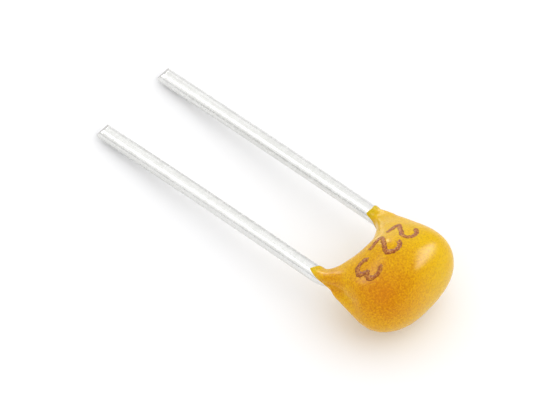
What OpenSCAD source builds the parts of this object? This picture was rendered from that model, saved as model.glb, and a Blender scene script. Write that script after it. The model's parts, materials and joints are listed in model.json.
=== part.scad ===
// Radial multilayer ceramic capacitor, dipped in yellow epoxy, lying on its belly and lead tips.
// It is drawn with both leads in the plane z = 0 and pointing along +y, then laid down at the end.

/* [Leads] */
// Distance between the two lead axes
lead_pitch = 2.54; // [2.4:0.02:2.8]
// Diameter of the tinned wire
lead_d = 0.46; // [0.4:0.01:0.52]
// Straight leg, from the bend in the horn to the cut tip
leg_len = 7.6; // [4:0.1:12]
// Distance of the bend from the widest line of the coating
bend_y = 1.8; // [1.7:0.05:2]
// Radius of both bends that bring the wire in to the chip
bend_r = 0.6; // [0.4:0.05:0.8]
// Straight wire between its two bends
slope_len = 0.25; // [0.1:0.05:0.4]
// Angle between the lead axis and each face of the pinched tip
tip_angle = 50; // [35:1:70]
// Thickness of the edge left where the cutter's blades met
tip_edge = 0.06; // [0.03:0.01:0.12]

/* [Ceramic chip] */
// Length over both terminations
chip_l = 1.6; // [1.4:0.02:1.66]
// Width, along the leads
chip_w = 0.8; // [0.6:0.02:1]
// Thickness
chip_t = 0.8; // [0.6:0.02:1.2]
// How far each termination wraps on to the sides
termination_band = 0.35; // [0.2:0.01:0.5]
// Thickness of the termination metal
termination_t = 0.05; // [0.03:0.005:0.08]

/* [Solder] */
// Solder between a termination and the wire
joint_gap = 0.03; // [0.02:0.005:0.06]
// Radius of the hollow solder fillets
fillet_r = 0.22; // [0.15:0.01:0.3]
// Distance the wire stops short of the chip's far edge
foot_setback = 0.03; // [0.01:0.005:0.05]
// Distance the solder stops short of the chip's edges
solder_setback = 0.07; // [0.06:0.01:0.15]

/* [Coating] */
// Width over the flanks
body_w = 3.3; // [3.1:0.05:3.7]
// Thickness, top to belly
body_t = 2.8; // [2.2:0.05:3.2]
// Depth of the round end below the widest line
end_depth = 1.05; // [0.9:0.05:1.4]
// Height of the notch's floor above the widest line
notch_h = 1.15; // [1:0.05:1.2]
// Reach of the left horn on its outer side
left_horn_out = 1.6; // [1.5:0.05:2]
// Reach of the left horn on its inner side
left_horn_in = 1.6; // [1.55:0.05:1.9]
// Reach of the right horn on its outer side
right_horn_out = 1.9; // [1.7:0.05:2.1]
// Reach of the right horn on its inner side
right_horn_in = 1.75; // [1.55:0.05:1.9]
// How much further the left horn reaches on top than at mid-height
left_horn_rake = 0.35; // [0:0.05:0.4]
// How much further the right horn reaches on top than at mid-height
right_horn_rake = 0.2; // [0:0.05:0.4]
// Coating left on the wire at a horn's tip
film_t = 0.02; // [0.015:0.005:0.04]
// Squareness of the round end, 2 for an ellipse
end_power = 3.3; // [2:0.1:3.6]
// Squareness of the cross-sections, 2 for an ellipse
section_power = 2.3; // [2:0.1:2.5]
// How fast the thickness falls from the middle to the horns
thinning = 2.3; // [1.7:0.1:2.5]
// How hollow the flanks are where they run out into the horns
flank_hollow = 2; // [1.5:0.1:2.3]

/* [Hidden] */

left = -1;
right = 1;
lead_r = lead_d / 2;
lead_x = lead_pitch / 2;
horn_r = lead_r + film_t;

// The wire steps in by step_x between the leg and the foot beside the chip
foot_x = chip_l / 2 + joint_gap + lead_r;
step_x = lead_x - foot_x;
bend_angle = atan2(2 * bend_r, slope_len) + asin((step_x - 2 * bend_r) / norm([2 * bend_r, slope_len]));
foot_y = bend_y - 2 * bend_r * sin(bend_angle) - slope_len * cos(bend_angle);
tip_y = bend_y + leg_len;
tip_back = (lead_r - tip_edge / 2) / tan(tip_angle);

// The chip sits midway between the round end and the floor of the notch
chip_y = (notch_h - end_depth) / 2;
chip_end = chip_y - chip_w / 2;
foot_len = foot_y - chip_end - foot_setback;

// Degrees in a quarter turn
quarter = 90;
// Detail of the coating's surface
half_rings = 24;
ring_points = 32;
// Share of a side's rings that go round the end, before the flank
end_share = 0.5;
round_fn = 48;
// Past every solid, for cuts
past = 2 * lead_d;

// Signed power that makes a sine or cosine superelliptic
function squared(v, power) = sign(v) * pow(abs(v), 2 / power);

function mix(a, b, share) = a + (b - a) * share;

// Wire axis at height y, along the leg, the first bend, the slope after it and the foot
function wire_x(y) =
    let (
        drop = bend_y - y,
        bend_drop = bend_r * sin(bend_angle)
    )
    drop <= 0 ? lead_x
        : drop <= bend_drop ? lead_x - bend_r + sqrt(pow(bend_r, 2) - pow(drop, 2))
        : max(foot_x, lead_x - bend_r + bend_r * cos(bend_angle) - (drop - bend_drop) * tan(bend_angle));

// Point of the round end, psi degrees from its middle
function end_point(psi) =
    let (
        across = pow(sin(psi) / (body_w / 2), end_power),
        along = pow(cos(psi) / end_depth, end_power),
        r = pow(across + along, -1 / end_power)
    )
    [r * sin(psi), -r * cos(psi)];

// Point of a flank, from the widest line at 0 to the horn's tip at 1
function flank_point(share, reach) =
    let (tip_x = wire_x(reach) + horn_r)
    [mix(tip_x, body_w / 2, pow(1 - pow(share, 2), flank_hollow)), reach * share];

// Point of the notch, from its floor at 0 degrees to the horn's tip at 90
function notch_point(angle, reach) =
    let (tip_x = wire_x(reach) - horn_r)
    [tip_x * sin(angle), mix(reach, notch_h, cos(angle))];

// Cross-section of the coating: s runs from -1 at the left horn to 1 at the right one
function coat_ring(s) =
    let (
        side = sign(s),
        way = abs(s),
        reach_in = s < 0 ? left_horn_in : right_horn_in,
        reach_out = s < 0 ? left_horn_out : right_horn_out,
        rake = s < 0 ? left_horn_rake : right_horn_rake,
        inner = notch_point(quarter * way, reach_in),
        outer = way < end_share
            ? end_point(quarter * way / end_share)
            : flank_point((way - end_share) / (1 - end_share), reach_out),
        half_t = mix(horn_r, body_t / 2, pow(cos(quarter * way), thinning))
    )
    [
        for (i = [0:ring_points - 1])
            let (
                angle = 360 * i / ring_points,
                over = squared(sin(angle), section_power),
                p = mix(inner, outer, (1 + squared(cos(angle), section_power)) / 2),
                y = p.y + rake * over * (1 - cos(quarter * way))
            )
            // A raked point follows the wire's bend
            [side * (p.x + wire_x(y) - wire_x(p.y)), y, half_t * over]
    ];

coat_points = [for (k = [-half_rings:half_rings]) each coat_ring(k / half_rings)];
last_ring = 2 * half_rings;

function corner(ring, i) = ring * ring_points + i % ring_points;

coat_faces = [
    [for (i = [ring_points - 1:-1:0]) corner(0, i)],
    [for (i = [0:ring_points - 1]) corner(last_ring, i)],
    for (ring = [0:last_ring - 1], i = [0:ring_points - 1])
        each [
            [corner(ring, i), corner(ring + 1, i + 1), corner(ring + 1, i)],
            [corner(ring, i), corner(ring, i + 1), corner(ring + 1, i + 1)]
        ]
];

// Lowest corners of a cut tip, as [y, z]
tip_corners = [[tip_y - tip_back, -lead_r], [tip_y, -tip_edge / 2]];

// Heights after the part is turned by a degrees, tips down
function belly_low(a) = min([for (p = coat_points) p.z * cos(a) - p.y * sin(a)]);
function tips_low(a) = min([for (c = tip_corners) c[1] * cos(a) - c[0] * sin(a)]);

// Angle at which the belly and the lead tips touch the floor together, by halving
function rest_angle(low, high, steps) =
    let (middle = (low + high) / 2)
    steps == 0 ? middle
        : tips_low(middle) > belly_low(middle) ? rest_angle(middle, high, steps - 1)
        : rest_angle(low, middle, steps - 1);

steepest = 45;
halvings = 24;
rest = rest_angle(0, steepest, halvings);
floor_z = belly_low(rest);
back_y = min([for (p = coat_points) p.y * cos(rest) + p.z * sin(rest)]);
front_y = tip_y * cos(rest) + tip_edge / 2 * sin(rest);

// Lays the part down, with its box centred over the origin and its lowest points on z = 0
module lay() {
    translate([0, -(back_y + front_y) / 2, -floor_z])
        rotate([-rest, 0, 0])
            children();
}

// Puts what is drawn on the right on either side
module on_side(side) {
    mirror([side == left ? 1 : 0, 0, 0])
        children();
}

// Straight wire from the origin, along -y
module bar(length) {
    rotate([quarter, 0, 0])
        cylinder(r = lead_r, h = length, $fn = round_fn);
}

// Bent wire about the origin, from the x axis towards y
module bend() {
    rotate_extrude(angle = bend_angle, $fn = round_fn)
        translate([bend_r, 0])
            circle(r = lead_r, $fn = round_fn);
}

// What the cutter takes off above the tip's edge
module tip_cut() {
    translate([lead_x, tip_y, tip_edge / 2])
        rotate([-tip_angle, 0, 0])
            translate([-past, -2 * past, 0])
                cube([2 * past, 4 * past, 2 * past]);
}

// One lead, as a chain in which each stretch is drawn from the end of the one before
module wire() {
    difference() {
        translate([lead_x, tip_y, 0])
            bar(leg_len);
        tip_cut();
        mirror([0, 0, 1])
            tip_cut();
    }
    translate([lead_x - bend_r, bend_y, 0])
        rotate([0, 0, -bend_angle]) {
            bend();
            translate([bend_r, 0, 0])
                bar(slope_len);
            translate([2 * bend_r, -slope_len, 0]) {
                rotate([0, 0, 180])
                    bend();
                rotate([0, 0, bend_angle])
                    translate([-bend_r, 0, 0])
                        bar(foot_len);
            }
        }
}

module chip_block(inset) {
    translate([0, chip_y, 0])
        cube([chip_l - 2 * inset, chip_w - 2 * inset, chip_t - 2 * inset], center = true);
}

module chip_body() {
    chip_block(termination_t);
}

// Metal cap over one end of the chip
module termination() {
    difference() {
        intersection() {
            chip_block(0);
            translate([chip_l / 2 - termination_band, chip_y - chip_w, -chip_t])
                cube([chip_l, 2 * chip_w, 2 * chip_t]);
        }
        chip_body();
    }
}

// Room between the termination's end face and the axis of the foot, with a hollow fillet on each side
module solder_fill() {
    face_x = chip_l / 2;
    bite = joint_gap / 2;
    fillet_x = face_x + fillet_r - bite;
    fillet_z = sqrt(pow(lead_r + fillet_r - bite, 2) - pow(foot_x - fillet_x, 2));
    solder_l = chip_w - 2 * solder_setback;
    difference() {
        translate([face_x, chip_end + solder_setback, -fillet_z])
            cube([foot_x - face_x, solder_l, 2 * fillet_z]);
        for (z = [-fillet_z, fillet_z])
            translate([fillet_x, chip_end - past, z])
                rotate([-quarter, 0, 0])
                    cylinder(r = fillet_r, h = chip_w + 2 * past, $fn = round_fn);
    }
}

module solder() {
    difference() {
        solder_fill();
        wire();
    }
}

module epoxy_coating() {
    color("orange")
        lay()
            difference() {
                polyhedron(points = coat_points, faces = coat_faces, convexity = 6);
                chip_block(0);
                for (side = [left, right])
                    on_side(side) {
                        solder_fill();
                        wire();
                    }
            }
}

module ceramic_chip() {
    color("tan")
        lay()
            chip_body();
}

module left_termination() {
    color("gainsboro")
        lay()
            on_side(left)
                termination();
}

module right_termination() {
    color("gainsboro")
        lay()
            on_side(right)
                termination();
}

module left_solder() {
    color("lightgray")
        lay()
            on_side(left)
                solder();
}

module right_solder() {
    color("lightgray")
        lay()
            on_side(right)
                solder();
}

module left_lead() {
    color("silver")
        lay()
            on_side(left)
                wire();
}

module right_lead() {
    color("silver")
        lay()
            on_side(right)
                wire();
}

epoxy_coating();
ceramic_chip();
left_termination();
right_termination();
left_solder();
right_solder();
left_lead();
right_lead();
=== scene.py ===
import json
import math

import bmesh
import bpy
from mathutils import Matrix, Vector, noise
from mathutils.bvhtree import BVHTree


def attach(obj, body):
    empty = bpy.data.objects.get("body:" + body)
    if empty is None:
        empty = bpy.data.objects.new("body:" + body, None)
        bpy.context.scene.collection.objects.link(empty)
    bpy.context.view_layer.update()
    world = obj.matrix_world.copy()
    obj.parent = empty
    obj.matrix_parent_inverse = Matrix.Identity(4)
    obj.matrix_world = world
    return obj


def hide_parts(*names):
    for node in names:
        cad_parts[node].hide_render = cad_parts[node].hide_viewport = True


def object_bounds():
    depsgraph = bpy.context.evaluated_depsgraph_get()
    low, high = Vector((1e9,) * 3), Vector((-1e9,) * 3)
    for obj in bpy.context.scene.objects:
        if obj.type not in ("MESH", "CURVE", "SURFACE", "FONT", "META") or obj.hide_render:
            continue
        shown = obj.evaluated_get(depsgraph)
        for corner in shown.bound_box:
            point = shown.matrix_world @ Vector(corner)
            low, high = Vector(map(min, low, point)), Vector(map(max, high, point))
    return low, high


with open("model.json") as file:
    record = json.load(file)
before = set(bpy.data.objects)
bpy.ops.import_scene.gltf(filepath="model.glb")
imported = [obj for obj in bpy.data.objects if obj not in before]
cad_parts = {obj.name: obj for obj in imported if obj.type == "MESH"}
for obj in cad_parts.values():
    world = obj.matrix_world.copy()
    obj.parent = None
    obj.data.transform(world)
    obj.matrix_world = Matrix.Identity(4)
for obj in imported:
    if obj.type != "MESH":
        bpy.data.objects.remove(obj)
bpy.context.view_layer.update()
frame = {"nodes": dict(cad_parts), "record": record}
mm = 0.001

# the two pins say how the part lies: x across the leads, y along them, z out of its top face
pins = {mount["name"]: mount for mount in frame["record"]["mounts"]}
leftPin, rightPin = (Vector(pins[name]["pos_m"]) for name in ("left_pin", "right_pin"))
alongLeads = Vector(pins["left_pin"]["axis"]).normalized()
acrossLeads = (rightPin - leftPin).normalized()
outOfTop = acrossLeads.cross(alongLeads)
wireR = pins["left_pin"]["dims"]["r_mm"]
legLength = pins["left_pin"]["dims"]["length_mm"]
leadX = (rightPin - leftPin).length / mm / 2

# leads: mm from the widest line of the coating, and degrees
lead = dict(
    bendY=1.8, bendR=0.6, slope=0.25,               # two bends bring the wire in to the chip
    footX=1.06, footEnd=-0.32,
    bow=0.02,                                       # no leg is quite straight
    tipAngle=50, tipEdge=0.06,                      # two cutter faces and the edge between them
    rimTurn=25, tipSoft=0.012, softSteps=2,         # edges past this turn are worn round
    sharpTurn=20, weld=0.001,
    sides=40, legStep=0.1, bendSteps=8, slopeSteps=2, footSteps=4,
)
bendSpan = math.hypot(2 * lead["bendR"], lead["slope"])
bendAngle = (math.atan2(2 * lead["bendR"], lead["slope"])
             + math.asin((leadX - lead["footX"] - 2 * lead["bendR"]) / bendSpan))
widestLine = (leftPin + rightPin) / 2 - alongLeads * (lead["bendY"] + legLength / 2) * mm
turned = Matrix((acrossLeads, alongLeads, outOfTop)).transposed()
lay = Matrix.Translation(widestLine) @ turned.to_4x4() @ Matrix.Scale(mm, 4)

# a Mix node's sockets go by place, because their names repeat
mixShare, firstNumber, secondNumber = 0, 2, 3
firstColour, secondColour, mixedColour = 6, 7, 2


def linear(code):
    # sRGB hex to the linear colour that the shaders take
    parts = [int(code[i:i + 2], 16) / 255 for i in (1, 3, 5)]
    return [p / 12.92 if p <= 0.04045 else ((p + 0.055) / 1.055) ** 2.4 for p in parts] + [1]


def mix(first, second, share):
    return first + (second - first) * share


def addNode(tree, kind, inputs=None, **settings):
    node = tree.nodes.new(kind)
    for name, value in settings.items():
        setattr(node, name, value)
    for name, value in (inputs or {}).items():
        if isinstance(value, bpy.types.NodeSocket):
            tree.links.new(value, node.inputs[name])
        else:
            node.inputs[name].default_value = value
    return node


def startMaterial(name):
    material = bpy.data.materials.new(name)
    material.use_nodes = True
    tree = material.node_tree
    tree.nodes.clear()
    return material, tree


def partCoords(tree):
    # Object coordinates turned to the part's own axes, in mm
    where = addNode(tree, "ShaderNodeTexCoord")
    turnedBack = addNode(tree, "ShaderNodeMapping", {
        "Vector": where.outputs["Object"],
        "Location": widestLine, "Rotation": turned.to_euler(), "Scale": (mm, mm, mm),
    }, vector_type="TEXTURE")
    return turnedBack.outputs["Vector"]


def endMaterial(tree, shader):
    addNode(tree, "ShaderNodeOutputMaterial", {"Surface": shader.outputs[0]})


def finishPiece(bm, name, material, replaced=None):
    mesh = bpy.data.meshes.new(name)
    bm.to_mesh(mesh)
    bm.free()
    piece = bpy.data.objects.new(name, mesh)
    bpy.context.collection.objects.link(piece)
    mesh.materials.append(material)
    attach(piece, "root")
    if replaced:
        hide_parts(replaced)
    print("made", name, len(mesh.polygons), "faces")
    return piece


# dipped epoxy: a runny resin coat that set smooth, so a soft gloss over a faint pigment grain,
# which is drawn coarser than real pigment so that it shows
epoxyLook = dict(
    yellow="#DAAE00", orange="#C67800", tip="#C0AA08",
    # painted shade: deeper orange round this point, towards the shaded front shoulder and lower side
    shadePool=(-0.98, -0.31, 0.64), shadePoolSpan=(0.25, 1.9), shadePoolFade=0.8,      # mm in the part's own axes
    # painted shade: deeper orange in the hollow under the left horn's ridge
    hornShadePool=(-1.42, 1.05, 0.32), hornShadePoolSpan=(0.15, 0.85), hornShadePoolLeast=0.35,
    thinSpan=(1.65, 2.0), thinMost=0.8,                                 # mm up the leads
    noises=dict(patch=(0.9, 2), grain=(0.05, 3), peel=(0.3, 1)),        # mm, detail
    patchShare=0.25, grainShare=1.4,
    speckSpan=(0.3, 0.7), speck=(0.88, 1.12),
    peelBump=(0.12, 0.02), grainBump=(0.1, 0.004),                      # strength, mm
    roughness=(0.2, 0.32), ior=1.5, specular=0.14,
    subsurface=0.1, subsurfaceRadius=(1.0, 0.45, 0.1), subsurfaceScale=0.2,
)


def dippedEpoxy():
    look = epoxyLook
    material, tree = startMaterial("dippedEpoxy")
    coords = partCoords(tree)
    noises = {}
    for name, (size, detail) in look["noises"].items():
        pattern = addNode(tree, "ShaderNodeTexNoise", {
            "Vector": coords, "Scale": 1 / size, "Detail": detail,
        })
        noises[name] = pattern.outputs[0]
    # painted shade: the coat goes from the yellow to the deeper orange towards the shaded front shoulder and
    # lower side
    away = addNode(tree, "ShaderNodeVectorMath", {0: coords, 1: look["shadePool"]}, operation="DISTANCE")
    run = addNode(tree, "ShaderNodeMapRange", {
        "Value": away.outputs["Value"],
        "From Min": look["shadePoolSpan"][0], "From Max": look["shadePoolSpan"][1],
    })
    fade = addNode(tree, "ShaderNodeMath", {0: run.outputs[0], 1: look["shadePoolFade"]}, operation="POWER")
    # and more painted shade: deeper orange in the hollow below the left horn's ridge
    hornShadeAway = addNode(tree, "ShaderNodeVectorMath", {
        0: coords, 1: look["hornShadePool"],
    }, operation="DISTANCE")
    hornShadeRun = addNode(tree, "ShaderNodeMapRange", {
        "Value": hornShadeAway.outputs["Value"], "To Min": look["hornShadePoolLeast"],
        "From Min": look["hornShadePoolSpan"][0], "From Max": look["hornShadePoolSpan"][1],
    }, interpolation_type="SMOOTHSTEP")
    paintedShade = addNode(tree, "ShaderNodeMath", {0: fade.outputs[0], 1: hornShadeRun.outputs[0]}, operation="MINIMUM")
    # patches and grain shift that both ways
    mottled = addNode(tree, "ShaderNodeMath", {
        0: noises["patch"], 1: look["patchShare"], 2: paintedShade.outputs[0],
    }, operation="MULTIPLY_ADD")
    grained = addNode(tree, "ShaderNodeMath", {
        0: noises["grain"], 1: look["grainShare"], 2: mottled.outputs[0],
    }, operation="MULTIPLY_ADD")
    shade = addNode(tree, "ShaderNodeMath", {
        0: grained.outputs[0], 1: (look["patchShare"] + look["grainShare"]) / 2,
    }, operation="SUBTRACT", use_clamp=True)
    body = addNode(tree, "ShaderNodeMix", {
        mixShare: shade.outputs[0],
        firstColour: linear(look["orange"]), secondColour: linear(look["yellow"]),
    }, data_type="RGBA")
    # the thin ends of the horns go greenish over the bright wire
    axes = addNode(tree, "ShaderNodeSeparateXYZ", {0: coords})
    thin = addNode(tree, "ShaderNodeMapRange", {
        "Value": axes.outputs["Y"], "To Max": look["thinMost"],
        "From Min": look["thinSpan"][0], "From Max": look["thinSpan"][1],
    })
    horned = addNode(tree, "ShaderNodeMix", {
        mixShare: thin.outputs[0],
        firstColour: body.outputs[mixedColour], secondColour: linear(look["tip"]),
    }, data_type="RGBA")
    speck = addNode(tree, "ShaderNodeMapRange", {
        "Value": noises["grain"], "From Min": look["speckSpan"][0], "From Max": look["speckSpan"][1],
        "To Min": look["speck"][0], "To Max": look["speck"][1],
    })
    colour = addNode(tree, "ShaderNodeMix", {
        mixShare: 1.0, firstColour: horned.outputs[mixedColour], secondColour: speck.outputs[0],
    }, data_type="RGBA", blend_type="MULTIPLY")
    rough = addNode(tree, "ShaderNodeMapRange", {
        "Value": noises["patch"], "To Min": look["roughness"][0], "To Max": look["roughness"][1],
    })
    waves = addNode(tree, "ShaderNodeBump", {
        "Height": noises["peel"], "Strength": look["peelBump"][0], "Distance": look["peelBump"][1] * mm,
    })
    fine = addNode(tree, "ShaderNodeBump", {
        "Height": noises["grain"], "Strength": look["grainBump"][0], "Distance": look["grainBump"][1] * mm,
        "Normal": waves.outputs[0],
    })
    shader = addNode(tree, "ShaderNodeBsdfPrincipled", {
        "Base Color": colour.outputs[mixedColour], "Roughness": rough.outputs[0], "Normal": fine.outputs[0],
        "IOR": look["ior"], "Specular IOR Level": look["specular"],
        "Subsurface Weight": look["subsurface"], "Subsurface Radius": look["subsurfaceRadius"],
        "Subsurface Scale": look["subsurfaceScale"] * mm,
    })
    endMaterial(tree, shader)
    return material


# tinned copper: drawn through a die, so a soft metal shine in streaks along the wire, which are
# made coarser than real ones so that they show
wireLook = dict(
    bright="#E7E7E5", dull="#DCDCD9", cut="#A3A2A0",
    streakAcross=0.05, streakAlong=4.0, streakDetail=2,     # mm
    spotSize=0.15, spotDetail=3,
    wornSpan=(0.15, 0.35),
    streakBump=(0.03, 0.01),                                # strength, mm
    roughness=(0.24, 0.3), cutRoughness=0.6,
    cutFacing=(0.5, 0.7),                                   # cosine of the angle to the lead
)


def tinnedCopper():
    look = wireLook
    material, tree = startMaterial("tinnedCopper")
    coords = partCoords(tree)
    stretched = addNode(tree, "ShaderNodeMapping", {
        "Vector": coords,
        "Scale": (1 / look["streakAcross"], 1 / look["streakAlong"], 1 / look["streakAcross"]),
    })
    streak = addNode(tree, "ShaderNodeTexNoise", {
        "Vector": stretched.outputs[0], "Scale": 1.0, "Detail": look["streakDetail"],
    })
    spots = addNode(tree, "ShaderNodeTexNoise", {
        "Vector": coords, "Scale": 1 / look["spotSize"], "Detail": look["spotDetail"],
    })
    both = addNode(tree, "ShaderNodeMath", {0: streak.outputs[0], 1: spots.outputs[0]}, operation="MULTIPLY")
    worn = addNode(tree, "ShaderNodeMapRange", {
        "Value": both.outputs[0], "From Min": look["wornSpan"][0], "From Max": look["wornSpan"][1],
    })
    drawn = addNode(tree, "ShaderNodeMix", {
        mixShare: worn.outputs[0],
        firstColour: linear(look["dull"]), secondColour: linear(look["bright"]),
    }, data_type="RGBA")
    # the cutter left greyer faces at the tip, which look along the lead
    facing = addNode(tree, "ShaderNodeTexCoord").outputs["Normal"]
    along = addNode(tree, "ShaderNodeVectorMath", {0: facing, 1: alongLeads}, operation="DOT_PRODUCT")
    atTip = addNode(tree, "ShaderNodeMapRange", {
        "Value": along.outputs["Value"],
        "From Min": look["cutFacing"][0], "From Max": look["cutFacing"][1],
    })
    colour = addNode(tree, "ShaderNodeMix", {
        mixShare: atTip.outputs[0],
        firstColour: drawn.outputs[mixedColour], secondColour: linear(look["cut"]),
    }, data_type="RGBA")
    drawnRough = addNode(tree, "ShaderNodeMapRange", {
        "Value": spots.outputs[0], "To Min": look["roughness"][0], "To Max": look["roughness"][1],
    })
    rough = addNode(tree, "ShaderNodeMix", {
        mixShare: atTip.outputs[0],
        firstNumber: drawnRough.outputs[0], secondNumber: look["cutRoughness"],
    })
    lines = addNode(tree, "ShaderNodeBump", {
        "Height": streak.outputs[0],
        "Strength": look["streakBump"][0], "Distance": look["streakBump"][1] * mm,
    })
    shader = addNode(tree, "ShaderNodeBsdfPrincipled", {
        "Base Color": colour.outputs[mixedColour], "Metallic": 1.0,
        "Roughness": rough.outputs[0], "Normal": lines.outputs[0],
    })
    endMaterial(tree, shader)
    return material


# stamped ink: thin brown print that breaks up over the gloss, darker where it pooled
inkLook = dict(
    dark="#8E4206", pale="#C98A20",
    breakSize=0.05, breakDetail=3, paleSpan=(0.42, 0.68),       # mm
    roughness=0.5, ior=1.36,
)


def stampedInk():
    look = inkLook
    material, tree = startMaterial("stampedInk")
    coords = partCoords(tree)
    gaps = addNode(tree, "ShaderNodeTexNoise", {
        "Vector": coords, "Scale": 1 / look["breakSize"], "Detail": look["breakDetail"],
    })
    paled = addNode(tree, "ShaderNodeMapRange", {
        "Value": gaps.outputs[0], "From Min": look["paleSpan"][0], "From Max": look["paleSpan"][1],
    })
    colour = addNode(tree, "ShaderNodeMix", {
        mixShare: paled.outputs[0],
        firstColour: linear(look["dark"]), secondColour: linear(look["pale"]),
    }, data_type="RGBA")
    shader = addNode(tree, "ShaderNodeBsdfPrincipled", {
        "Base Color": colour.outputs[mixedColour], "Roughness": look["roughness"], "IOR": look["ior"],
    })
    endMaterial(tree, shader)
    return material


# what the coating hides, by the end of its node's name: the ceramic is fired, so matt and grainy,
# the caps are plated, so satin, and the solder flowed, so it is brighter
hiddenLooks = {
    "ceramic_chip": dict(
        material="firedCeramic", light="#C2A98A", dark="#9C8061", grainSize=0.06,
        metallic=0.0, roughness=0.7,
    ),
    "termination": dict(
        material="platedCap", light="#D4D4D0", dark="#B4B4B0", grainSize=0.04,
        metallic=1.0, roughness=0.35,
    ),
    "solder": dict(
        material="tinSolder", light="#CFCFCF", dark="#A9A9AC", grainSize=0.08,
        metallic=1.0, roughness=0.3,
    ),
}
hiddenGrain = dict(detail=4, bump=(0.2, 0.005))     # strength, mm


def hiddenFinish(look):
    material, tree = startMaterial(look["material"])
    coords = partCoords(tree)
    grain = addNode(tree, "ShaderNodeTexNoise", {
        "Vector": coords, "Scale": 1 / look["grainSize"], "Detail": hiddenGrain["detail"],
    })
    colour = addNode(tree, "ShaderNodeMix", {
        mixShare: grain.outputs[0],
        firstColour: linear(look["dark"]), secondColour: linear(look["light"]),
    }, data_type="RGBA")
    bumps = addNode(tree, "ShaderNodeBump", {
        "Height": grain.outputs[0],
        "Strength": hiddenGrain["bump"][0], "Distance": hiddenGrain["bump"][1] * mm,
    })
    shader = addNode(tree, "ShaderNodeBsdfPrincipled", {
        "Base Color": colour.outputs[mixedColour], "Metallic": look["metallic"],
        "Roughness": look["roughness"], "Normal": bumps.outputs[0],
    })
    endMaterial(tree, shader)
    return material


# coating: rings from the left horn round the body to the right horn, in mm, pairs for left and right
coating = dict(
    halfWidth=(1.6, 1.68), thickness=2.8,
    endDepth=1.05, endPower=(2.3, 3.3), endShare=0.5,       # round end
    notchY=1.15,
    reachIn=(1.6, 1.75), reachOut=(1.6, 1.9),               # horns, beside the notch and outside
    notchFill=1.7, flankHollow=2.0, thinning=(2.3, 1.7), neck=(30, 6), sectionPower=2.3,    # powers
    crest=(84, 18, 0.08), hollow=(30, 26, 0.15),            # on a horn: turn and width in degrees, mm
    film=(0.015, 0.02), lip=(0.02, 0.02), sunk=0.04,
    lipWays=(1.35, 1.7, 2),                                 # past the horn's end, down into the wire
    ragged=(0.02, 0.06), raggedTurns=1.7, raggedSeed=(7.3, 12.3), raggedPower=12,
    lump=0.018, lumpSize=1.1, lumpFade=0.6,
    halfRings=28, ringPoints=40, levels=2,
)
# where the left and the right horn end: degrees round the wire, from its outer side over the top,
# and mm from the widest line
hornEdges = (
    ((-90, 1.25), (-10, 1.4), (25, 1.6), (50, 1.8), (66, 1.97),
     (96, 1.88), (150, 1.75), (210, 1.45), (270, 1.25)),
    ((-60, 1.75), (30, 1.95), (117, 2.0), (144, 1.98), (156, 1.8),
     (180, 1.64), (205, 1.55), (250, 1.6), (300, 1.75)),
)


def hornEnd(side, turn):
    edge = hornEdges[side]
    first = edge[0][0]
    degrees = (math.degrees(turn) - first) % 360 + first
    for (t0, y0), (t1, y1) in zip(edge, edge[1:]):
        if degrees <= t1:
            return mix(y0, y1, (degrees - t0) / (t1 - t0))


def swellAt(turn, swelling):
    # a smooth rise round the given turn, of the given width and height
    middle, width, height = swelling
    away = (math.degrees(turn) - middle + 180) % 360 - 180
    return height * math.exp(-(away / width) ** 2)


def squared(value, power):
    # a sine or cosine of a circle, squared off as the power goes past 2
    return math.copysign(abs(value) ** (2 / power), value)


def wireX(y):
    # the wire's axis along the leg, its first bend, the slope after it and the foot
    drop = lead["bendY"] - y
    bendDrop = lead["bendR"] * math.sin(bendAngle)
    if drop <= 0:
        return leadX
    if drop <= bendDrop:
        return leadX - lead["bendR"] + math.sqrt(lead["bendR"] ** 2 - drop ** 2)
    slopeX = leadX - lead["bendR"] * (1 - math.cos(bendAngle))
    return max(lead["footX"], slopeX - (drop - bendDrop) * math.tan(bendAngle))


def endPoint(angle, side):
    power = coating["endPower"][side]
    across = abs(math.sin(angle) / coating["halfWidth"][side]) ** power
    along = abs(math.cos(angle) / coating["endDepth"]) ** power
    reach = (across + along) ** (-1 / power)
    return Vector((reach * math.sin(angle), -reach * math.cos(angle)))


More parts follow.
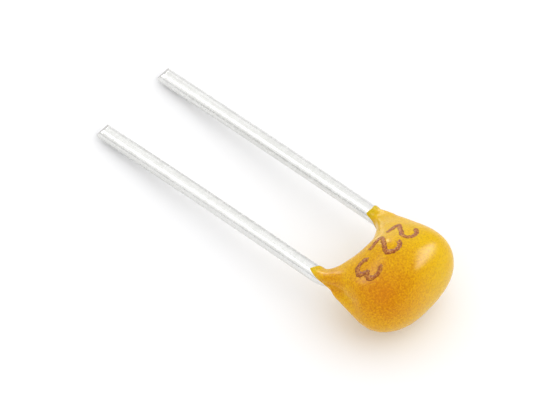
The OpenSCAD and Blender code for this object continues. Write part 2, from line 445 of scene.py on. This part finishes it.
def coatPoint(way, turn):
    # way runs from -1 at the left horn to 1 at the right one, and past those along the lips,
    # to where they dip under the wire's skin
    dip = coating
    side = 0 if way < 0 else 1
    part = min(abs(way), 1)
    past = abs(way) - part
    up = max(0, (part - dip["endShare"]) / (1 - dip["endShare"]))
    rising, falling = math.sin(part * math.pi / 2), math.cos(part * math.pi / 2)
    hornR = wireR + dip["film"][side]
    reachIn, reachOut = dip["reachIn"][side], dip["reachOut"][side]
    # each ring goes from a point on the notch to one on the outline
    inX = wireX(reachIn) - hornR
    inner = Vector((inX * rising ** dip["notchFill"], mix(reachIn, dip["notchY"], falling)))
    if part < dip["endShare"]:
        outer = endPoint(part / dip["endShare"] * math.pi / 2, side)
    else:
        spread = (1 - up ** 2) ** dip["flankHollow"]
        outer = Vector((mix(wireX(reachOut) + hornR, dip["halfWidth"][side], spread), reachOut * up))
    swollen = falling ** dip["thinning"][side] * (1 - part ** dip["neck"][side])
    halfT = mix(hornR, dip["thickness"] / 2, swollen)
    over = squared(math.sin(turn), dip["sectionPower"])
    share = (1 + squared(math.cos(turn), dip["sectionPower"])) / 2
    spot = inner.lerp(outer, share)
    # the horn is drawn out along the wire to its ragged end
    ringX, ringZ = math.cos(turn) * dip["raggedTurns"], math.sin(turn) * dip["raggedTurns"]
    ragged = noise.noise((ringX, ringZ, dip["raggedSeed"][side])) * dip["ragged"][side]
    drawn = hornEnd(side, turn) - mix(reachIn, reachOut, share)
    y = spot.y + drawn * (1 - falling) + ragged * part ** dip["raggedPower"]
    point = Vector((spot.x + wireX(y) - wireX(spot.y), y, halfT * over))
    swell = (swellAt(turn, dip["crest"]) - swellAt(turn, dip["hollow"])) * math.sin(math.pi * up)
    point += Vector((math.cos(turn), 0, math.sin(turn))) * swell
    if past:
        middle = inner.lerp(outer, 0.5)
        centre = Vector((middle.x, point.y, 0))
        shrink = mix(1, (wireR - dip["sunk"]) / hornR, past ** 2)
        point = centre + (point - centre) * shrink + Vector((0, dip["lip"][side] * math.sqrt(past), 0))
    if side == 0:
        point.x = -point.x
    return point


def ringEdges(geom):
    verts = {g for g in geom if isinstance(g, bmesh.types.BMVert)}
    edges = [g for g in geom if isinstance(g, bmesh.types.BMEdge) and all(v in verts for v in g.verts)]
    return verts, edges


def makeCoating(material):
    dip = coating
    bm = bmesh.new()
    around = bm.verts.layers.float.new("around")
    bmesh.ops.create_circle(bm, segments=dip["ringPoints"], radius=1)
    for v in bm.verts:
        v[around] = math.atan2(v.co.y, v.co.x)
    verts, edges = bm.verts[:], bm.edges[:]
    bmesh.ops.edgeloop_fill(bm, edges=edges)
    half = dip["halfRings"]
    lips = list(dip["lipWays"])
    ways = [-way for way in reversed(lips)] + [k / half for k in range(-half, half + 1)] + lips
    for way in ways:
        if way != ways[0]:
            verts, edges = ringEdges(bmesh.ops.extrude_edge_only(bm, edges=edges)["geom"])
        for v in verts:
            v.co = coatPoint(way, v[around])
    bmesh.ops.edgeloop_fill(bm, edges=edges)
    bmesh.ops.recalc_face_normals(bm, faces=bm.faces)
    bm.normal_update()
    # a dipped coat is never quite even
    for v in bm.verts:
        if v.co.y < dip["notchY"]:
            fade = min(1, (dip["notchY"] - v.co.y) / dip["lumpFade"])
            v.co += v.normal * noise.noise(v.co / dip["lumpSize"]) * dip["lump"] * fade
    bmesh.ops.transform(bm, matrix=lay, verts=bm.verts)
    for face in bm.faces:
        face.smooth = True
    piece = finishPiece(bm, "epoxyCoat", material, "epoxy_coating")
    smoother = piece.modifiers.new("smoother", "SUBSURF")
    smoother.levels = smoother.render_levels = dip["levels"]
    return piece


# leads: drawn on from the cut tip down the leg, through both bends to the foot beside the chip
def drawOn(bm, edges, step, count, bow=0):
    for k in range(count):
        verts, edges = ringEdges(bmesh.ops.extrude_edge_only(bm, edges=edges)["geom"])
        lean = bow * (math.sin(math.pi * (k + 1) / count) - math.sin(math.pi * k / count))
        bmesh.ops.translate(bm, verts=list(verts), vec=step / count + Vector((lean, 0, 0)))
    return edges


def bendOn(bm, edges, centre, angle, steps):
    spun = bmesh.ops.spin(bm, geom=edges, cent=centre, axis=(0, 0, 1), angle=angle, steps=steps)
    return [g for g in spun["geom_last"] if isinstance(g, bmesh.types.BMEdge)]


def makeLead(side, name, replaced, material):
    bendR, slope = lead["bendR"], lead["slope"]
    tipY = lead["bendY"] + legLength
    bm = bmesh.new()
    atTip = Matrix.Translation((leadX, tipY, 0)) @ Matrix.Rotation(math.pi / 2, 4, "X")
    bmesh.ops.create_circle(bm, cap_ends=True, segments=lead["sides"], radius=wireR, matrix=atTip)
    legSteps = round(legLength / lead["legStep"])
    edges = drawOn(bm, bm.edges[:], Vector((0, -legLength, 0)), legSteps, lead["bow"] * side)
    centre = Vector((leadX - bendR, lead["bendY"], 0))
    edges = bendOn(bm, edges, centre, -bendAngle, lead["bendSteps"])
    down = Vector((-math.sin(bendAngle), -math.cos(bendAngle), 0))
    outward = Vector((math.cos(bendAngle), -math.sin(bendAngle), 0))
    edges = drawOn(bm, edges, down * slope, lead["slopeSteps"])
    centre += outward * 2 * bendR + down * slope
    edges = bendOn(bm, edges, centre, bendAngle, lead["bendSteps"])
    footLength = centre.y - lead["footEnd"]
    edges = drawOn(bm, edges, Vector((0, -footLength, 0)), lead["footSteps"])
    bmesh.ops.edgeloop_fill(bm, edges=edges)
    # two cutter faces meet in the chisel edge of the tip
    slant = math.radians(lead["tipAngle"])
    for up in (1, -1):
        cut = bmesh.ops.bisect_plane(
            bm, geom=bm.verts[:] + bm.edges[:] + bm.faces[:], clear_outer=True,
            plane_co=(0, tipY, up * lead["tipEdge"] / 2),
            plane_no=(0, math.sin(slant), up * math.cos(slant)),
        )
        bmesh.ops.edgeloop_fill(bm, edges=[g for g in cut["geom_cut"] if isinstance(g, bmesh.types.BMEdge)])
    bmesh.ops.scale(bm, vec=(side, 1, 1), verts=bm.verts)
    bmesh.ops.remove_doubles(bm, verts=bm.verts, dist=lead["weld"])
    bmesh.ops.recalc_face_normals(bm, faces=bm.faces)
    rimTurn = math.radians(lead["rimTurn"])
    rims = [e for e in bm.edges if len(e.link_faces) == 2 and e.calc_face_angle() > rimTurn]
    bmesh.ops.bevel(
        bm, geom=rims, offset=lead["tipSoft"], affect="EDGES", segments=lead["softSteps"],
        profile=0.5, material=-1, clamp_overlap=True,
    )
    bmesh.ops.remove_doubles(bm, verts=bm.verts, dist=lead["weld"])
    for face in bm.faces:
        face.smooth = len(face.verts) <= 4      # the cut faces stay flat
    for edge in bm.edges:
        edge.smooth = edge.calc_face_angle() < math.radians(lead["sharpTurn"])
    bmesh.ops.transform(bm, matrix=lay, verts=bm.verts)
    return finishPiece(bm, name, material, replaced)


# stamped number, read from the right lead to the left one with its feet to the notch, in mm
mark = dict(
    places=((0.72, 0.36), (-0.02, 0.34), (-0.86, 0.34)),
    size=(0.5, 0.72), scale=(1.15, 0.9),        # a digit as the pen draws it, and how it is stretched
    stroke=0.13, film=0.006, rise=0.004,
    wobble=0.03, wobbleSize=0.05, seed=7,
    step=0.02, arcLeast=3,
    castFrom=2.5,                               # above the top face, on to which the ink is cast
)
# pen moves: start point, heading in degrees, then arcs of a radius and turn, or straight runs
two = [((0.05, 0.52), 90, [(0.2, -215), (0.44,), (0.05, 125), (0.34,)])]
three = [((0.06, 0.60), 70, [(0.17, -235)]), ((0.27, 0.375), -15, [(0.19, -240)])]
numberMoves = [two, two, three]


def inkStroke(bm, start, heading, moves):
    direction = Vector((math.cos(math.radians(heading)), math.sin(math.radians(heading)), 0))
    middle = Vector((*start, 0))
    across = Vector((-direction.y, direction.x, 0))
    ends = [bm.verts.new(middle + across * mark["stroke"] / 2 * k) for k in (1, 0, -1)]
    edges = [bm.edges.new(ends[:2]), bm.edges.new(ends[1:])]
    for move in moves:
        if len(move) == 1:
            run = direction * move[0]
            edges = drawOn(bm, edges, run, max(1, round(move[0] / mark["step"])))
            middle += run
            continue
        radius, turn = move[0], math.radians(move[1])
        centre = middle + across * math.copysign(radius, turn)
        steps = max(mark["arcLeast"], round(abs(turn) * radius / mark["step"]))
        edges = bendOn(bm, edges, centre, turn, steps)
        swing = Matrix.Rotation(turn, 3, "Z")
        middle = centre + swing @ (middle - centre)
        direction = swing @ direction
        across = swing @ across


def makeMark(coat, material):
    skin = BVHTree.FromObject(coat, bpy.context.evaluated_depsgraph_get())
    digitMiddle = Vector((mark["size"][0] / 2, mark["size"][1] / 2, 0))
    noise.seed_set(mark["seed"])                # or the wobble would change from run to run
    bm = bmesh.new()
    for moves, place in zip(numberMoves, mark["places"]):
        before = set(bm.verts)
        for stroke in moves:
            inkStroke(bm, *stroke)
        flat = [f for f in bm.faces if f.verts[0] not in before]
        bmesh.ops.solidify(bm, geom=flat, thickness=mark["film"])
        digit = [v for v in bm.verts if v not in before]
        bmesh.ops.translate(bm, verts=digit, vec=-digitMiddle)
        bmesh.ops.scale(bm, verts=digit, vec=(*mark["scale"], 1))
        for v in digit:
            spot = Vector((v.co.x + place[0], v.co.y + place[1], 0))
            wobble = noise.noise_vector(spot / mark["wobbleSize"]) * mark["wobble"]
            v.co += Vector((wobble.x, wobble.y, 0))
        bmesh.ops.rotate(bm, verts=digit, matrix=Matrix.Rotation(math.pi, 3, "Z"))
        bmesh.ops.translate(bm, verts=digit, vec=(*place, mark["castFrom"]))
    for v in bm.verts:
        height = v.co.z - mark["castFrom"] + mark["rise"]
        hit, normal, _, _ = skin.ray_cast(lay @ v.co, -outOfTop)
        v.co = hit + normal * height * mm
    bmesh.ops.recalc_face_normals(bm, faces=bm.faces)
    for face in bm.faces:
        face.smooth = True
    return finishPiece(bm, "stampedNumber", material)


# camera: degrees round and above the part, mm from the spot on the floor that it looks at
shot = dict(
    azimuth=-58.63, elevation=56.72, roll=10.63,
    distance=450, spot=(0.134, 0.464, 0), frameWidth=14.46,
    sensor=36, clip=(10, 2000),
)


def makeCamera():
    turn = (Matrix.Rotation(math.radians(shot["azimuth"]), 4, "Z")
            @ Matrix.Rotation(math.radians(90 - shot["elevation"]), 4, "X")
            @ Matrix.Rotation(math.radians(shot["roll"]), 4, "Z"))
    data = bpy.data.cameras.new("camera")
    data.sensor_width = shot["sensor"]
    data.lens = shot["sensor"] * shot["distance"] / shot["frameWidth"]
    data.clip_start, data.clip_end = (depth * mm for depth in shot["clip"])
    camera = bpy.data.objects.new("camera", data)
    bpy.context.collection.objects.link(camera)
    back = turn @ Vector((0, 0, 1))
    camera.matrix_world = Matrix.Translation((Vector(shot["spot"]) + back * shot["distance"]) * mm) @ turn
    bpy.context.scene.camera = camera
    print("camera set")


# white card floor in a white room, in mm
studio = dict(
    floorHalf=600, floorColour="#F3F3F4",
    lampDistance=200,
    roomColour="#FFFFFF", roomStrength=1.1, exposure=0.0,
    dimToward=(0.55, -0.83, 0), dimFrom=0.0, dimTo=0.4, dimColour="#8E8E90",
    stripToward=(-0.95, 0.3, 0), stripFrom=0.03, stripTo=0.2,
)
# one soft lamp gives light, and the others only show in the gloss:
# degrees from +Y towards +X and above the floor, mm, watts
lamps = dict(
    overhead=dict(azimuth=110, elevation=62, size=(300, 300), power=0.11, gives="light"),
    window=dict(azimuth=122, elevation=30, size=(170, 55), power=0.53, gives="gloss"),
    leftBox=dict(azimuth=-28, elevation=34, size=(60, 50), power=0.08, gives="gloss"),
    farBox=dict(azimuth=27, elevation=13, size=(120, 60), power=0.24, gives="gloss"),
    leadBox=dict(azimuth=-44, elevation=47, size=(40, 40), power=0.009, gives="gloss"),
)


def makeFloor():
    bm = bmesh.new()
    bmesh.ops.create_grid(bm, x_segments=1, y_segments=1, size=studio["floorHalf"] * mm)
    bmesh.ops.translate(bm, verts=bm.verts, vec=(0, 0, min(0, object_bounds()[0][2])))
    mesh = bpy.data.meshes.new("floor")
    bm.to_mesh(mesh)
    bm.free()
    floor = bpy.data.objects.new("floor", mesh)
    bpy.context.collection.objects.link(floor)
    # white card: matt and plain, so it only takes the shadow
    material, tree = startMaterial("whiteCard")
    endMaterial(tree, addNode(tree, "ShaderNodeBsdfDiffuse", {"Color": linear(studio["floorColour"])}))
    mesh.materials.append(material)
    print("floor set")


def makeLamps():
    for name, lamp in lamps.items():
        around, above = math.radians(lamp["azimuth"]), math.radians(lamp["elevation"])
        level = math.cos(above)
        toward = Vector((math.sin(around) * level, math.cos(around) * level, math.sin(above)))
        data = bpy.data.lights.new(name, "AREA")
        data.shape = "RECTANGLE"
        data.size, data.size_y = (side * mm for side in lamp["size"])
        data.energy = lamp["power"]
        light = bpy.data.objects.new(name, data)
        bpy.context.collection.objects.link(light)
        light.location = toward * studio["lampDistance"] * mm
        light.rotation_euler = toward.to_track_quat("Z", "Y").to_euler()
        light.visible_glossy = lamp["gives"] == "gloss"
        light.visible_diffuse = lamp["gives"] == "light"
    print("lamps set")


def makeRoom():
    world = bpy.data.worlds.new("room")
    bpy.context.scene.world = world
    world.use_nodes = True
    tree = world.node_tree
    tree.nodes.clear()
    # the room's mirror image is dim on the round end's side and in a low strip beside the left lead
    way = addNode(tree, "ShaderNodeTexCoord").outputs["Generated"]
    mirrored = addNode(tree, "ShaderNodeLightPath").outputs["Is Glossy Ray"]
    endward = addNode(tree, "ShaderNodeVectorMath", {
        0: way, 1: studio["dimToward"],
    }, operation="DOT_PRODUCT")
    endSide = addNode(tree, "ShaderNodeMapRange", {
        "Value": endward.outputs["Value"], "From Min": studio["dimFrom"], "From Max": studio["dimTo"],
    }, interpolation_type="SMOOTHSTEP")
    height = addNode(tree, "ShaderNodeSeparateXYZ", {0: way})
    low = addNode(tree, "ShaderNodeMapRange", {
        "Value": height.outputs["Z"], "From Min": studio["stripFrom"], "From Max": studio["stripTo"],
        "To Min": 1, "To Max": 0,
    }, interpolation_type="SMOOTHSTEP")
    leadward = addNode(tree, "ShaderNodeVectorMath", {
        0: way, 1: studio["stripToward"],
    }, operation="DOT_PRODUCT")
    strip = addNode(tree, "ShaderNodeMath", {
        0: low.outputs[0], 1: leadward.outputs["Value"],
    }, operation="MULTIPLY", use_clamp=True)
    both = addNode(tree, "ShaderNodeMath", {0: endSide.outputs[0], 1: strip.outputs[0]}, operation="MAXIMUM")
    dim = addNode(tree, "ShaderNodeMath", {0: both.outputs[0], 1: mirrored}, operation="MULTIPLY")
    colour = addNode(tree, "ShaderNodeMix", {
        mixShare: dim.outputs[0],
        firstColour: linear(studio["roomColour"]), secondColour: linear(studio["dimColour"]),
    }, data_type="RGBA")
    light = addNode(tree, "ShaderNodeBackground", {
        "Color": colour.outputs[mixedColour], "Strength": studio["roomStrength"],
    })
    addNode(tree, "ShaderNodeOutputWorld", {"Surface": light.outputs[0]})
    bpy.context.scene.view_settings.view_transform = "Standard"
    bpy.context.scene.view_settings.exposure = studio["exposure"]
    print("room set")


wire = tinnedCopper()
coat = makeCoating(dippedEpoxy())
makeLead(-1, "leftWire", "left_lead", wire)
makeLead(1, "rightWire", "right_lead", wire)
makeMark(coat, stampedInk())

for ending, hiddenLook in hiddenLooks.items():
    finish = hiddenFinish(hiddenLook)
    for name, node in frame["nodes"].items():
        if name.endswith(ending):
            node.data.materials.clear()
            node.data.materials.append(finish)
            print("finished", name)

makeCamera()
makeFloor()
makeLamps()
makeRoom()
